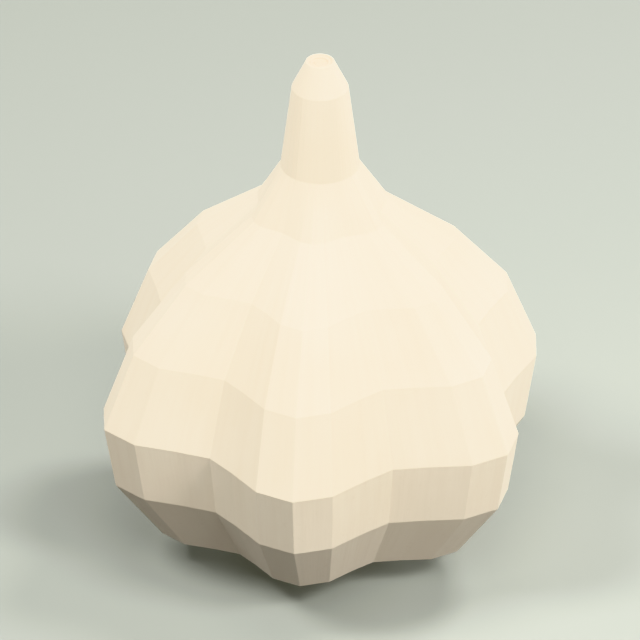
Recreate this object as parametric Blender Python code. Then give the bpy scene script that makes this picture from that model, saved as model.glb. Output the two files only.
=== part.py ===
"""Garlic bulb: one closed solid that grew as one piece, with six cloves showing through its skin.

The body is a stack of level outlines. Each outline is round with a wave of six crests, one for each
clove, and the wave dies out into the plain round neck. Flat facets join one outline to the next.
The bulb stands on +Z, with the origin at the middle of the small flat spot that it rests on.
"""
import math

import bmesh
import bpy

# Driving dimensions
BULB_WIDTH = 0.060              # across the crests of two opposite cloves, where the bulb is widest
CLOVES = 6
FACETS_PER_CLOVE = 6
FIRST_CREST_TURN = math.radians(-6.75)   # the front clove's crest, turned from -Y towards -X
VALLEY_DEPTH = 0.2143           # how far a valley lies inside its crests, as a share of their radius
FADED_DEPTH = 0.14              # the same, where the cloves run out below the neck
ROOT_DEPTH = 0.12               # the same, at the flat spot
ROUND = 0.0                     # no wave: the neck
HALF_WIDTH = BULB_WIDTH / 2

# Level outlines, from the flat spot up to the cut tip of the neck: height above the flat spot and
# radius at a crest, both as a share of half the bulb's width, and depth of the valleys
OUTLINES = (
    (0.000, 0.320, ROOT_DEPTH),      # flat spot around the roots
    (0.145, 0.730, VALLEY_DEPTH),    # rim of the underside
    (0.434, 0.946, VALLEY_DEPTH),    # lower flank
    (0.724, 1.000, VALLEY_DEPTH),    # widest
    (1.062, 0.865, VALLEY_DEPTH),    # upper flank
    (1.351, 0.622, VALLEY_DEPTH),    # shoulder
    (1.593, 0.309, FADED_DEPTH),     # foot of the neck, where the cloves run out
    (1.810, 0.169, ROUND),           # neck
    (2.195, 0.121, ROUND),           # top of the neck
    (2.322, 0.060, ROUND),           # cut tip
)

# Finish
SKIN_COLOUR = (0.86, 0.76, 0.60, 1.0)
SKIN_ROUGHNESS = 0.55


def outline_points(height, crest, depth):
    """The corners of one level outline, counter-clockwise from above, the front crest first."""
    corners = CLOVES * FACETS_PER_CLOVE
    points = []
    for index in range(corners):
        turn = 2 * math.pi * index / corners
        dip = depth * (1 - math.cos(CLOVES * turn)) / 2
        radius = HALF_WIDTH * crest * (1 - dip)
        angle = turn + FIRST_CREST_TURN
        points.append((radius * math.sin(angle), -radius * math.cos(angle), HALF_WIDTH * height))
    return points


def place_loop(loop, points):
    """Move the corners of a loop, in order, to the given points."""
    for corner, point in zip(loop, points):
        corner.co = point


def grow_loop(mesh, loop):
    """Extrude a closed loop of corners and return the new loop, in the same order."""
    count = len(loop)
    edges = [mesh.edges.get((loop[i], loop[(i + 1) % count])) for i in range(count)]
    grown = bmesh.ops.extrude_edge_only(mesh, edges=edges)["geom"]
    new_edges = {edge for edge in grown if isinstance(edge, bmesh.types.BMEdge)}
    new_corners = {corner for corner in grown if isinstance(corner, bmesh.types.BMVert)}
    following = []
    for corner in loop:
        for edge in corner.link_edges:
            far = edge.other_vert(corner)
            if far in new_corners and edge not in new_edges:
                following.append(far)
    return following


def make_bulb_mesh():
    """Build the bulb's closed surface, one outline after another."""
    mesh = bmesh.new()
    loop = bmesh.ops.create_circle(mesh, cap_ends=False, radius=HALF_WIDTH,
                                   segments=CLOVES * FACETS_PER_CLOVE)["verts"]
    place_loop(loop, outline_points(*OUTLINES[0]))
    mesh.faces.new(loop)
    for outline in OUTLINES[1:]:
        loop = grow_loop(mesh, loop)
        place_loop(loop, outline_points(*outline))
    mesh.faces.new(loop)
    bmesh.ops.recalc_face_normals(mesh, faces=mesh.faces)
    return mesh


def skin_material():
    """Matt cream skin."""
    material = bpy.data.materials.new("garlic_skin")
    material.use_nodes = True
    shader = material.node_tree.nodes["Principled BSDF"]
    shader.inputs["Base Color"].default_value = SKIN_COLOUR
    shader.inputs["Roughness"].default_value = SKIN_ROUGHNESS
    shader.inputs["Metallic"].default_value = 0.0
    return material


def add_part(name, mesh, material):
    """Make an object of a finished mesh, flat shaded because its facets are flat."""
    data = bpy.data.meshes.new(name)
    mesh.to_mesh(data)
    mesh.free()
    data.shade_flat()
    data.materials.append(material)
    part = bpy.data.objects.new(name, data)
    bpy.context.scene.collection.objects.link(part)
    return part


def main():
    for leftover in list(bpy.data.objects):
        bpy.data.objects.remove(leftover, do_unlink=True)
    add_part("garlic_bulb", make_bulb_mesh(), skin_material())


main()
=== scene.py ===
# %% [markdown]
# # A garlic bulb
# This lesson dresses a finished solid of a garlic bulb. The solid gives the size, the six cloves and
# the large flat facets; everything here is finish: soft arrises, the veins of the papery skin, the
# dry cut end of the neck, the roots underneath, and a pale table with soft light.
# All lengths are in metres, with +Z up, and the bulb stands on z = 0 with its axis on x = y = 0.

# %% Load the solid that everything is fitted to
import math
import random

import bmesh
import bpy
import numpy as np
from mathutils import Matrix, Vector


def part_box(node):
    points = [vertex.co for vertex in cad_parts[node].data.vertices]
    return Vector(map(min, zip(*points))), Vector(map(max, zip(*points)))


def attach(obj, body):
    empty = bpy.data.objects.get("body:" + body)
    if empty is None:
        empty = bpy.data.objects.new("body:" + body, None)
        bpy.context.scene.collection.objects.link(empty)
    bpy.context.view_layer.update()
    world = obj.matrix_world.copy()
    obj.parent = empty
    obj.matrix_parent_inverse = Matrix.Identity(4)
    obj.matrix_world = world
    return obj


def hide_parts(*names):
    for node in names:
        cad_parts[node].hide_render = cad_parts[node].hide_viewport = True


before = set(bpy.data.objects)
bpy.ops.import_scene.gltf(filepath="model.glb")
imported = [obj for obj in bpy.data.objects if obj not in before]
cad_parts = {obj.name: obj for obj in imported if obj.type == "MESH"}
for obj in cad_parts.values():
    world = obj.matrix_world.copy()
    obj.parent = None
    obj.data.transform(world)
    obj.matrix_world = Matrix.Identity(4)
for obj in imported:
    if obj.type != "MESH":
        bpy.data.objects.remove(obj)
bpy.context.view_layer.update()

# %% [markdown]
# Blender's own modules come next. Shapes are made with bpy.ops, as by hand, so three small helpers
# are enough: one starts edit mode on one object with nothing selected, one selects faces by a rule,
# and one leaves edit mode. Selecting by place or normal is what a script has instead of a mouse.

MM = 0.001
SOLID_NAME = "garlic_bulb"


def work_on(piece, mode="EDGE"):
    """Open one object in edit mode, with nothing selected."""
    bpy.ops.object.select_all(action="DESELECT")
    piece.select_set(True)
    bpy.context.view_layer.objects.active = piece
    bpy.ops.object.mode_set(mode="EDIT")
    bpy.ops.mesh.select_mode(type=mode)
    bpy.ops.mesh.select_all(action="DESELECT")


def pick_faces(piece, rule):
    """Select the faces that a rule on their middle and normal accepts, and count them."""
    mesh = bmesh.from_edit_mesh(piece.data)
    chosen = [face for face in mesh.faces if rule(face.calc_center_median(), face.normal)]
    for face in chosen:
        face.select_set(True)
    bmesh.update_edit_mesh(piece.data)
    return len(chosen)


def done():
    bpy.ops.object.mode_set(mode="OBJECT")
    bpy.ops.object.select_all(action="DESELECT")


low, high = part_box(SOLID_NAME)
height = high.z - low.z
print("solid", [round(1000 * side, 1) for side in high - low], "mm")

# %% [markdown]
# ## The skin
# A garlic bulb's outer skin is one dry sheet drawn tight over the cloves. The solid already has its
# shape, so the skin starts as a copy of it. The copy arrives as loose triangles: merging joins them,
# and dissolving the lines between level triangles gives back the large flat facets.

# %% Copy the solid and join its triangles into facets
skin = bpy.data.objects.new("bulb_skin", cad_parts[SOLID_NAME].data.copy())
bpy.context.scene.collection.objects.link(skin)
MERGE_GAP = 0.01 * MM
LEVEL_GAP = 0.05 * MM
SAME_TURN = math.radians(2)


def is_slanted(edge):
    """True for an edge that crosses a facet from corner to corner."""
    start, end = (corner.co for corner in edge.verts)
    turn = start.xy.angle(end.xy)
    return abs(start.z - end.z) > LEVEL_GAP and turn > SAME_TURN


work_on(skin, "VERT")
bpy.ops.mesh.select_all(action="SELECT")
bpy.ops.mesh.remove_doubles(threshold=MERGE_GAP)
bpy.ops.mesh.select_mode(type="EDGE")
bpy.ops.mesh.select_all(action="DESELECT")
for edge in bmesh.from_edit_mesh(skin.data).edges:
    edge.select_set(is_slanted(edge))
bpy.ops.mesh.dissolve_edges(use_verts=False)
for facing in (1, -1):
    bpy.ops.mesh.select_mode(type="FACE")
    bpy.ops.mesh.select_all(action="DESELECT")
    pick_faces(skin, lambda middle, normal: normal.z * facing > 0.99)
    bpy.ops.mesh.dissolve_faces()
done()
print("facets", len(skin.data.polygons))

# %% [markdown]
# ## The cut tip
# The neck is a roll of dried skins that was cut across. Seen from above, the cut shows their edges
# as rings. Insetting the end face again and again, and letting every second ring sink a little,
# makes that roll in real geometry, where a painted ring would look flat from the side.

# %% Roll of dried skins at the cut tip
TIP_SKINS = 4
TIP_SKIN_WIDTH = 0.20 * MM
TIP_STEP = 0.22 * MM


def is_tip(middle, normal):
    return normal.z > 0.99 and middle.z > high.z - 0.5 * MM


work_on(skin, "FACE")
pick_faces(skin, is_tip)
for ring in range(TIP_SKINS):
    bpy.ops.mesh.inset(thickness=TIP_SKIN_WIDTH, depth=0)
    step = -TIP_STEP if ring % 2 == 0 else TIP_STEP / 2
    bpy.ops.mesh.inset(thickness=TIP_SKIN_WIDTH / 3, depth=step)
done()
print("tip rings", TIP_SKINS)

# %% [markdown]
# ## The hollow for the roots
# Underneath, the cloves bulge a little past the root plate, so the bulb stands on a narrow rim with
# the roots in a shallow hollow inside it. The flat spot is inset to leave that rim, and pushed in.

# %% Shallow hollow inside the rim that the bulb rests on
RIM_WIDTH = 1.6 * MM
HOLLOW_DEPTH = 1.5 * MM
HOLLOW_SLOPE = 1.2 * MM


def is_flat_spot(middle, normal):
    return normal.z < -0.99 and middle.z < low.z + 0.5 * MM


work_on(skin, "FACE")
pick_faces(skin, is_flat_spot)
bpy.ops.mesh.inset(thickness=RIM_WIDTH, depth=0)
bpy.ops.mesh.inset(thickness=HOLLOW_SLOPE, depth=-HOLLOW_DEPTH)
done()
print("hollow", round(1000 * HOLLOW_DEPTH, 1), "mm deep")

# %% [markdown]
# ## Soft arrises
# Nothing that grows has a razor's edge. A very narrow bevel on every edge that turns by more than a
# few degrees catches the light as a folded sheet of skin does, and is too narrow to blur the facets.
# All edges that still turn are then marked sharp, so that each facet stays flat when the mesh is
# shaded smooth.

# %% Bevel the edges between facets
ARRIS_WIDTH = 0.11 * MM
ARRIS_ANGLE = math.radians(8)
FOLD_ANGLE = math.radians(2)
work_on(skin)
bpy.ops.mesh.edges_select_sharp(sharpness=ARRIS_ANGLE)
bpy.ops.mesh.bevel(offset=ARRIS_WIDTH, offset_type="OFFSET", segments=2, profile=0.5,
                   affect="EDGES", clamp_overlap=True, harden_normals=False)
bpy.ops.mesh.select_all(action="DESELECT")
bpy.ops.mesh.edges_select_sharp(sharpness=FOLD_ANGLE)
bpy.ops.mesh.mark_sharp()
done()
print("faces after the bevel", len(skin.data.polygons))

# %% [markdown]
# ## Veins
# Dry garlic skin is ribbed lengthwise by fine veins. Each large facet is first cut into narrow
# columns and a few rows. Then the corners of those columns are raised where a vein passes, by less
# than a tenth of a millimetre. Every vein has its own heading round the axis and wanders a little as
# it climbs, so the veins draw together at the neck and at the roots as they do on a real bulb. How
# strongly a vein is felt at each corner is also kept as an attribute, for the finish to tint it.

# %% Cut each facet into columns and rows
COLUMNS = 16
ROWS = 4
SIDE_RADIUS = 1.5 * MM


def is_ring_edge(edge):
    """True for an edge that runs level round the bulb, along one facet."""
    start, end = (corner.co for corner in edge.verts)
    if min(start.xy.length, end.xy.length) < SIDE_RADIUS:
        return False
    turn = start.xy.angle(end.xy)
    return abs(start.z - end.z) < LEVEL_GAP and turn > SAME_TURN


def is_climbing_edge(edge):
    """True for an edge that climbs from one level outline to the next."""
    start, end = (corner.co for corner in edge.verts)
    length = (start - end).length
    return length > 1.0 * MM and start.xy.angle(end.xy) < SAME_TURN


def cut_edges(piece, rule, cuts):
    """Divide every edge that a rule accepts; the cuts of opposite edges are joined up."""
    work_on(piece)
    for edge in bmesh.from_edit_mesh(piece.data).edges:
        edge.select_set(rule(edge))
    bmesh.update_edit_mesh(piece.data)
    bpy.ops.mesh.subdivide(number_cuts=cuts)
    done()


cut_edges(skin, is_ring_edge, COLUMNS - 1)
cut_edges(skin, is_climbing_edge, ROWS - 1)
print("faces after the cuts", len(skin.data.polygons), "corners", len(skin.data.vertices))

# %% Raise the veins
VEINS = 84
VEIN_WIDTH = math.radians(0.85)
VEIN_HEIGHT = 0.032 * MM
FULL_RADIUS = 30 * MM
VEIN_FADE = 8
grain = np.random.default_rng(5)


def vein_field(turn, climb):
    """How strongly a vein is felt, from 0 to 1, at each heading and share of the height."""
    felt = np.zeros_like(turn)
    for number in range(VEINS):
        heading = 2 * math.pi * (number + grain.uniform(-0.35, 0.35)) / VEINS
        sway = math.radians(grain.uniform(0.2, 1.3))
        waves = grain.uniform(0.8, 2.2)
        line = heading + sway * np.sin(2 * math.pi * waves * climb + grain.uniform(0, 6.28))
        strength = grain.uniform(0.25, 1.0)
        ends = grain.uniform(0.75, 1.3)
        fade = np.clip((ends - climb) * VEIN_FADE, 0, 1)
        apart = np.angle(np.exp(1j * (turn - line)))
        felt = np.maximum(felt, strength * fade * np.exp(-0.5 * (apart / VEIN_WIDTH) ** 2))
    return felt


points = np.empty(3 * len(skin.data.vertices))
skin.data.vertices.foreach_get("co", points)
points = points.reshape(-1, 3)
reach = np.hypot(points[:, 0], points[:, 1])
climb = (points[:, 2] - low.z) / height
veins = vein_field(np.arctan2(points[:, 0], -points[:, 1]), climb)
outside = (reach > SIDE_RADIUS) & ~((reach < 9 * MM) & (climb < 0.03))
veins = veins * outside
swell = 1 + veins * VEIN_HEIGHT * np.sqrt(reach / FULL_RADIUS) / np.maximum(reach, MM)
points[:, :2] *= swell[:, None]
skin.data.vertices.foreach_set("co", points.ravel())
skin.data.attributes.new("vein", "FLOAT", "POINT").data.foreach_set("value", veins)
skin.data.update()
print("veins", VEINS, "strongest", round(float(veins.max()), 2))

# %% [markdown]
# ## Root plate and roots
# The root plate is the short stem of the bulb: a corky disc from which the roots grew before they
# were trimmed. It closes the hollow. A low cylinder is the start, and insets that rise and sink by
# turns give it low rings. The roots are short tapered stubs set out on a spiral, so that they are
# evenly spread but never in rows. Each stub has its own length, thickness and lean.

# %% Root plate
PLATE_RADIUS = 7.2 * MM
PLATE_THICKNESS = 0.9 * MM
PLATE_BOTTOM = 0.9 * MM
PLATE_SIDES = 40

bpy.ops.mesh.primitive_cylinder_add(
    vertices=PLATE_SIDES, radius=PLATE_RADIUS, depth=PLATE_THICKNESS,
    location=(0, 0, low.z + PLATE_BOTTOM + PLATE_THICKNESS / 2))
plate = bpy.context.object
plate.name = "root_plate"
bpy.ops.object.transform_apply(location=True, rotation=True, scale=True)
work_on(plate, "FACE")
pick_faces(plate, lambda middle, normal: normal.z < -0.99)
for width, rise in ((1.2, 0.25), (1.0, -0.15), (1.2, 0.2), (1.2, -0.1), (1.2, 0.1)):
    bpy.ops.mesh.inset(thickness=width * MM, depth=rise * MM)
done()
print("root plate", round(2000 * PLATE_RADIUS, 1), "mm across")

# %% Trimmed roots
ROOTS = 64
ROOT_RADIUS = 0.42 * MM
ROOT_FOOT = PLATE_BOTTOM + 0.25 * MM
GOLDEN_TURN = math.pi * (3 - math.sqrt(5))
chance = random.Random(11)


def add_root(number):
    """One trimmed stub: a tapered cylinder, leaned outwards, with a blunt cut end."""
    share = math.sqrt((number + 0.5) / ROOTS)
    turn = number * GOLDEN_TURN
    place = Vector((math.cos(turn), math.sin(turn), 0)) * share * (PLATE_RADIUS - 2 * ROOT_RADIUS)
    length = chance.uniform(0.65, 0.95) * MM
    thick = ROOT_RADIUS * chance.uniform(0.7, 1.1)
    bpy.ops.mesh.primitive_cone_add(
        vertices=7, radius1=thick * 0.7, radius2=thick, depth=length,
        location=(place.x, place.y, low.z + ROOT_FOOT - length / 2))
    stub = bpy.context.object
    lean = chance.uniform(0.05, 0.25)
    stub.rotation_euler = (math.sin(turn) * lean, -math.cos(turn) * lean, chance.uniform(0, 1))
    bpy.ops.object.transform_apply(location=True, rotation=True, scale=True)
    work_on(stub, "FACE")
    pick_faces(stub, lambda middle, normal: normal.z < -0.9)
    bpy.ops.mesh.inset(thickness=thick * 0.25, depth=-0.06 * MM)
    done()
    return stub


stubs = [add_root(number) for number in range(ROOTS)]
for stub in stubs:
    stub.select_set(True)
bpy.context.view_layer.objects.active = stubs[0]
bpy.ops.object.join()
roots = bpy.context.object
roots.name = "trimmed_roots"
lowest = min(corner.co.z for corner in roots.data.vertices)
print("roots", ROOTS, "lowest", round(1000 * lowest, 2), "mm")

# %% [markdown]
# ## Shading
# The skin is shaded smooth across its small faces, and the sharp marks made with the bevel keep its
# large facets apart. The root plate and the roots are smooth except where they turn by 40 degrees.

# %% Smooth shading with sharp marks
skin.data.shade_smooth()
for piece in (plate, roots):
    piece.select_set(True)
    bpy.context.view_layer.objects.active = piece
    bpy.ops.object.shade_smooth_by_angle(angle=math.radians(40))
    bpy.ops.object.select_all(action="DESELECT")
print("skin corners", len(skin.data.vertices))

# %% [markdown]
# ## Writing finishes as sums
# A finish is a web of nodes. Most of it is arithmetic, so a small class wraps a socket and turns
# Python's own operators into Math nodes; every other node comes from one method. The finishes below
# can then be read as formulas.

# %% A signal that can be added and multiplied, and a web that makes nodes


class Signal:
    """The output of a node, usable in sums and products."""

    def __init__(self, web, socket):
        self.web = web
        self.socket = socket

    def maths(self, operation, first, second=0.0):
        return self.web.add("ShaderNodeMath", {"operation": operation}, {0: first, 1: second})

    def __add__(self, other):
        return self.maths("ADD", self, other)

    def __radd__(self, other):
        return self.maths("ADD", other, self)

    def __sub__(self, other):
        return self.maths("SUBTRACT", self, other)

    def __rsub__(self, other):
        return self.maths("SUBTRACT", other, self)

    def __mul__(self, other):
        return self.maths("MULTIPLY", self, other)

    def __rmul__(self, other):
        return self.maths("MULTIPLY", other, self)

    def __pow__(self, other):
        return self.maths("POWER", self, other)


class Web:
    """The nodes and links of a material or a world."""

    def __init__(self, owner):
        owner.use_nodes = True
        self.nodes = owner.node_tree.nodes
        self.links = owner.node_tree.links

    def put(self, node, sockets):
        """Give each named socket of a node its value or its link."""
        for name, value in sockets.items():
            if isinstance(value, Signal):
                self.links.new(value.socket, node.inputs[name])
            else:
                node.inputs[name].default_value = value

    def add(self, kind, settings=None, sockets=None, output=0):
        """Add a node, set it up, feed its sockets and return one of its outputs."""
        node = self.nodes.new(kind)
        for name, value in (settings or {}).items():
            setattr(node, name, value)
        self.put(node, sockets or {})
        return Signal(self, node.outputs[output])

    def noise(self, place, scale, detail=2.0, roughness=0.5):
        """Cloudy noise from about 0 to 1, at a number of features per unit of the place."""
        return self.add("ShaderNodeTexNoise", {"noise_dimensions": "3D"},
                        {"Vector": place, "Scale": scale, "Detail": detail, "Roughness": roughness})

    def between(self, value, start, end):
        """0 where the value is at start, 1 at end, and smooth between."""
        return self.add("ShaderNodeMapRange", {"interpolation_type": "SMOOTHSTEP"},
                        {"Value": value, "From Min": start, "From Max": end})

    def mix(self, share, first, second):
        """A colour between two colours."""
        node = self.nodes.new("ShaderNodeMix")
        node.data_type = "RGBA"
        self.put(node, {"Factor": share})
        for index, colour in ((6, first), (7, second)):
            if isinstance(colour, Signal):
                self.links.new(colour.socket, node.inputs[index])
            else:
                node.inputs[index].default_value = (*colour, 1.0)
        return Signal(self, node.outputs[2])

    def relief(self, height, strength, distance):
        """A normal that makes the given height stand out."""
        return self.add("ShaderNodeBump", None,
                        {"Height": height, "Strength": strength, "Distance": distance})


class Finish(Web):
    """A material and the nodes that feed its one Principled shader."""

    def __init__(self, name):
        self.material = bpy.data.materials.new(name)
        super().__init__(self.material)
        self.shader = self.nodes["Principled BSDF"]


# %% [markdown]
# ## Papery skin
# Dry garlic skin is cream, a little warmer in clouds, and has fine fibres that run along the bulb
# like lines of longitude. The fibre pattern is laid out by direction round the axis and only slowly
# along it: noise on that stretched place gives long thin lines that draw together at the neck and
# the roots, as the real ones do, and has no seam. The veins come from the attribute that was kept
# when they were raised. Towards the roots the skin is painted a little darker and browner, as
# painted shade on the lower facets that face down, and the dried edge round the root plate is tan.

# %% Skin finish
CREAM = (0.86, 0.76, 0.593)
WARM_CREAM = (0.82, 0.717, 0.549)
VEIN_TINT = (0.70, 0.58, 0.41)
# Painted shade: the skin's colour at the roots end, a little darker than the cream, for the
# down-facing lower facets.
ROOTWARD_SHADE_TINT = (0.825, 0.718, 0.556)
DRY_TAN = (0.58, 0.43, 0.26)
FIBRE_COUNT = 60.0
FIBRE_CLIMB = 0.0025 / MM
FRECKLE_SIZE = 0.7 * MM
CLOUDS_PER_METRE = 60.0


def skin_finish():
    finish = Finish("garlic_skin")
    place = finish.add("ShaderNodeTexCoord", output="Object")
    axis = finish.add("ShaderNodeSeparateXYZ", None, {"Vector": place})
    across, back, up = (Signal(finish, axis.socket.node.outputs[name]) for name in "XYZ")
    radius = (across * across + back * back) ** 0.5
    level = finish.add("ShaderNodeCombineXYZ", None, {"X": across, "Y": back})
    heading = finish.add("ShaderNodeVectorMath", {"operation": "NORMALIZE"}, {0: level})
    lift = finish.add("ShaderNodeCombineXYZ", None, {"Z": up * FIBRE_CLIMB})
    along = finish.add("ShaderNodeVectorMath", {"operation": "ADD"}, {0: heading, 1: lift})
    vein = finish.add("ShaderNodeAttribute", {"attribute_name": "vein"}, output="Fac")
    clouds = finish.noise(place, CLOUDS_PER_METRE, 3.0)
    fibre = finish.noise(along, FIBRE_COUNT, 2.0, 0.6)
    freckles = finish.noise(place, 1.0 / FRECKLE_SIZE, 1.0)
    # 0 from 24 mm up and 1 at 2 mm; it drives the painted shade towards the roots and also adds
    # freckles there.
    rootward_share = finish.between(up, 24 * MM, 2 * MM)
    rim = finish.between(up, 3.5 * MM, 0.5 * MM) * finish.between(radius, 16 * MM, 9 * MM)
    end = finish.between(up, high.z - 0.4 * MM, high.z - 0.2 * MM)
    core = end * finish.between(radius, 1.5 * MM, 0.9 * MM)
    colour = finish.mix(finish.between(clouds, 0.35, 0.65), CREAM, WARM_CREAM)
    colour = finish.mix(finish.between(fibre, 0.4, 0.75) * 0.09, colour, VEIN_TINT)
    colour = finish.mix(vein * 0.13, colour, VEIN_TINT)
    # Painted shade: the skin darkens smoothly towards the roots.
    colour = finish.mix(rootward_share, colour, ROOTWARD_SHADE_TINT)
    speck = finish.between(freckles, 0.66, 0.76) * (0.04 + rootward_share * 0.05)
    colour = finish.mix(speck, colour, DRY_TAN)
    colour = finish.mix(rim * 0.5, colour, DRY_TAN)
    colour = finish.mix(core * 0.25, colour, DRY_TAN)
    finish.put(finish.shader, {
        "Base Color": colour,
        "Roughness": 0.48 + clouds * 0.14 + vein * 0.05,
        "Normal": finish.relief(fibre, 0.25, 0.08 * MM),
        "IOR": 1.45,
        "Sheen Weight": 0.05,
        "Sheen Roughness": 0.4,
    })
    return finish.material


skin_material = skin_finish()
print("skin nodes", len(skin_material.node_tree.nodes))

# %% [markdown]
# ## Cork and roots
# The root plate is brown and corky, the trimmed roots are straw coloured and darker at random.

# %% Cork and root finishes
CORK = (0.30, 0.20, 0.11)
PALE_CORK = (0.48, 0.36, 0.22)
STRAW = (0.56, 0.45, 0.29)
BROWN_ROOT = (0.33, 0.23, 0.13)


def dry_finish(name, dark, pale, grain):
    """A dull dry surface, mottled between two colours."""
    finish = Finish(name)
    place = finish.add("ShaderNodeTexCoord", output="Object")
    mottle = finish.noise(place, grain, 4.0, 0.6)
    finish.put(finish.shader, {
        "Base Color": finish.mix(finish.between(mottle, 0.35, 0.65), dark, pale),
        "Roughness": 0.8 + mottle * 0.1,
        "Normal": finish.relief(mottle, 0.5, 0.0002),
    })
    return finish.material


cork_material = dry_finish("root_cork", CORK, PALE_CORK, 700.0)
root_material = dry_finish("dry_root", BROWN_ROOT, STRAW, 500.0)
for piece, material in ((skin, skin_material), (plate, cork_material), (roots, root_material)):
    piece.data.materials.clear()
    piece.data.materials.append(material)
print("finishes", len(bpy.data.materials))

# %% [markdown]
# ## Table, light and camera
# The bulb stands on a plain pale table. Soft lights stand round it: strong ones at the front right,
# at the back right and on the left, and weaker ones between them, so that every facet has its own
# tone. A room's glow from below stands for the light that a pale table throws back up. The table's
# own bounced light is switched off for it, because it would tint the bulb's underside green. The
# lights are close to the bulb, so the table would turn dark further off, and black under the bulb's
# rim. A glow of its own, very faint near the bulb and stronger away from it, keeps it pale.

# %% Table top
TABLE_SIZE = 12.0
TABLE_COLOUR = (0.259, 0.271, 0.237)
NEAR = 0.13
FAR = 0.5
NEAR_GLOW = (0.036, 0.042, 0.039)
FAR_GLOW = (0.60, 0.63, 0.56)


def table_finish():
    finish = Finish("table_top")
    place = finish.add("ShaderNodeTexCoord", output="Object")
    away = finish.add("ShaderNodeVectorMath", {"operation": "LENGTH"}, {0: place}, output="Value")
    finish.put(finish.shader, {
        "Base Color": (*TABLE_COLOUR, 1.0),
        "Roughness": 0.8,
        "Emission Color": finish.mix(finish.between(away, NEAR, FAR), NEAR_GLOW, FAR_GLOW),
        "Emission Strength": 1.0,
    })
    return finish.material


bpy.ops.mesh.primitive_plane_add(size=TABLE_SIZE, location=(0, 0, low.z))
table = bpy.context.object
table.name = "table_top"
table.data.materials.append(table_finish())
table.visible_diffuse = False

# %% Lights
LIGHT_DISTANCE = 0.45
LIGHTS = (
    # name, degrees round from the front towards the right, degrees up, width, watts
    ("front_right", 48, 41, 0.13, 1.58),
    ("left", 286, 54, 0.16, 1.87),
    ("back_right", 120, 57, 0.14, 1.58),
    ("low_right", 120, 14, 0.22, 1.17),
    ("front_top", 0, 52, 0.22, 0.79),
    ("front_low", 30, 30, 0.20, 0.5),
    ("low_left", 225, 14, 0.20, 0.37),
    ("overhead", 0, 88, 0.20, 0.29),
)


def direction(round_degrees, up_degrees):
    """Unit vector towards a place round the bulb and above it."""
    turn = math.radians(round_degrees)
    rise = math.radians(up_degrees)
    return Vector((math.sin(turn) * math.cos(rise), -math.cos(turn) * math.cos(rise), math.sin(rise)))


def aim(thing, target, way, distance):
    """Stand a light or camera off a target and turn it to look there."""
    thing.location = target + way * distance
    thing.rotation_euler = (-way).to_track_quat("-Z", "Y").to_euler()


def add_light(name, round_degrees, up_degrees, width, watts):
    lamp = bpy.data.lights.new(name, "AREA")
    lamp.shape = "DISK"
    lamp.size = width
    lamp.energy = watts
    holder = bpy.data.objects.new(name, lamp)
    bpy.context.scene.collection.objects.link(holder)
    aim(holder, Vector((0, 0, height / 3)), direction(round_degrees, up_degrees), LIGHT_DISTANCE)
    return holder


for light in LIGHTS:
    add_light(*light)
print("lights", len(LIGHTS))

# %% Glow of the room
GLOW_BELOW = 0.31
GLOW_ABOVE = 0.055
HORIZON_BLUR = 0.02

room = bpy.data.worlds.new("room")
glow = Web(room)
toward = glow.add("ShaderNodeTexCoord", output="Generated")
split = glow.add("ShaderNodeSeparateXYZ", None, {"Vector": toward}, output="Z")
share = glow.between(split, -HORIZON_BLUR, 0.0)
glow.put(glow.nodes["Background"],
         {"Strength": share * (GLOW_ABOVE - GLOW_BELOW) + GLOW_BELOW, "Color": (1.0, 1.0, 1.0, 1.0)})
# Only rays that leave the bulb look for the glow: aimed from a light, it would stop at the table
room.cycles.sampling_method = "NONE"
bpy.context.scene.world = room
print("glow", GLOW_ABOVE, GLOW_BELOW)

# %% Camera
VIEW_UP = 31.15
VIEW_WIDTH = 81.8 * MM
AIM_HEIGHT = 30.97 * MM
CAMERA_DISTANCE = 0.6

camera_data = bpy.data.cameras.new("camera")
camera_data.type = "ORTHO"
camera_data.ortho_scale = VIEW_WIDTH
camera = bpy.data.objects.new("camera", camera_data)
bpy.context.scene.collection.objects.link(camera)
aim(camera, Vector((0, 0, AIM_HEIGHT)), direction(0, VIEW_UP), CAMERA_DISTANCE)
bpy.context.scene.camera = camera
bpy.context.scene.view_settings.view_transform = "Khronos PBR Neutral"
print("camera", [round(part, 3) for part in camera.location])

# %% [markdown]
# ## Hand over
# Every piece rides with the solid's one body, and the skin stands for the solid.

# %% Fix the pieces to the body and finish
for piece in (skin, plate, roots):
    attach(piece, "root")
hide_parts(SOLID_NAME)
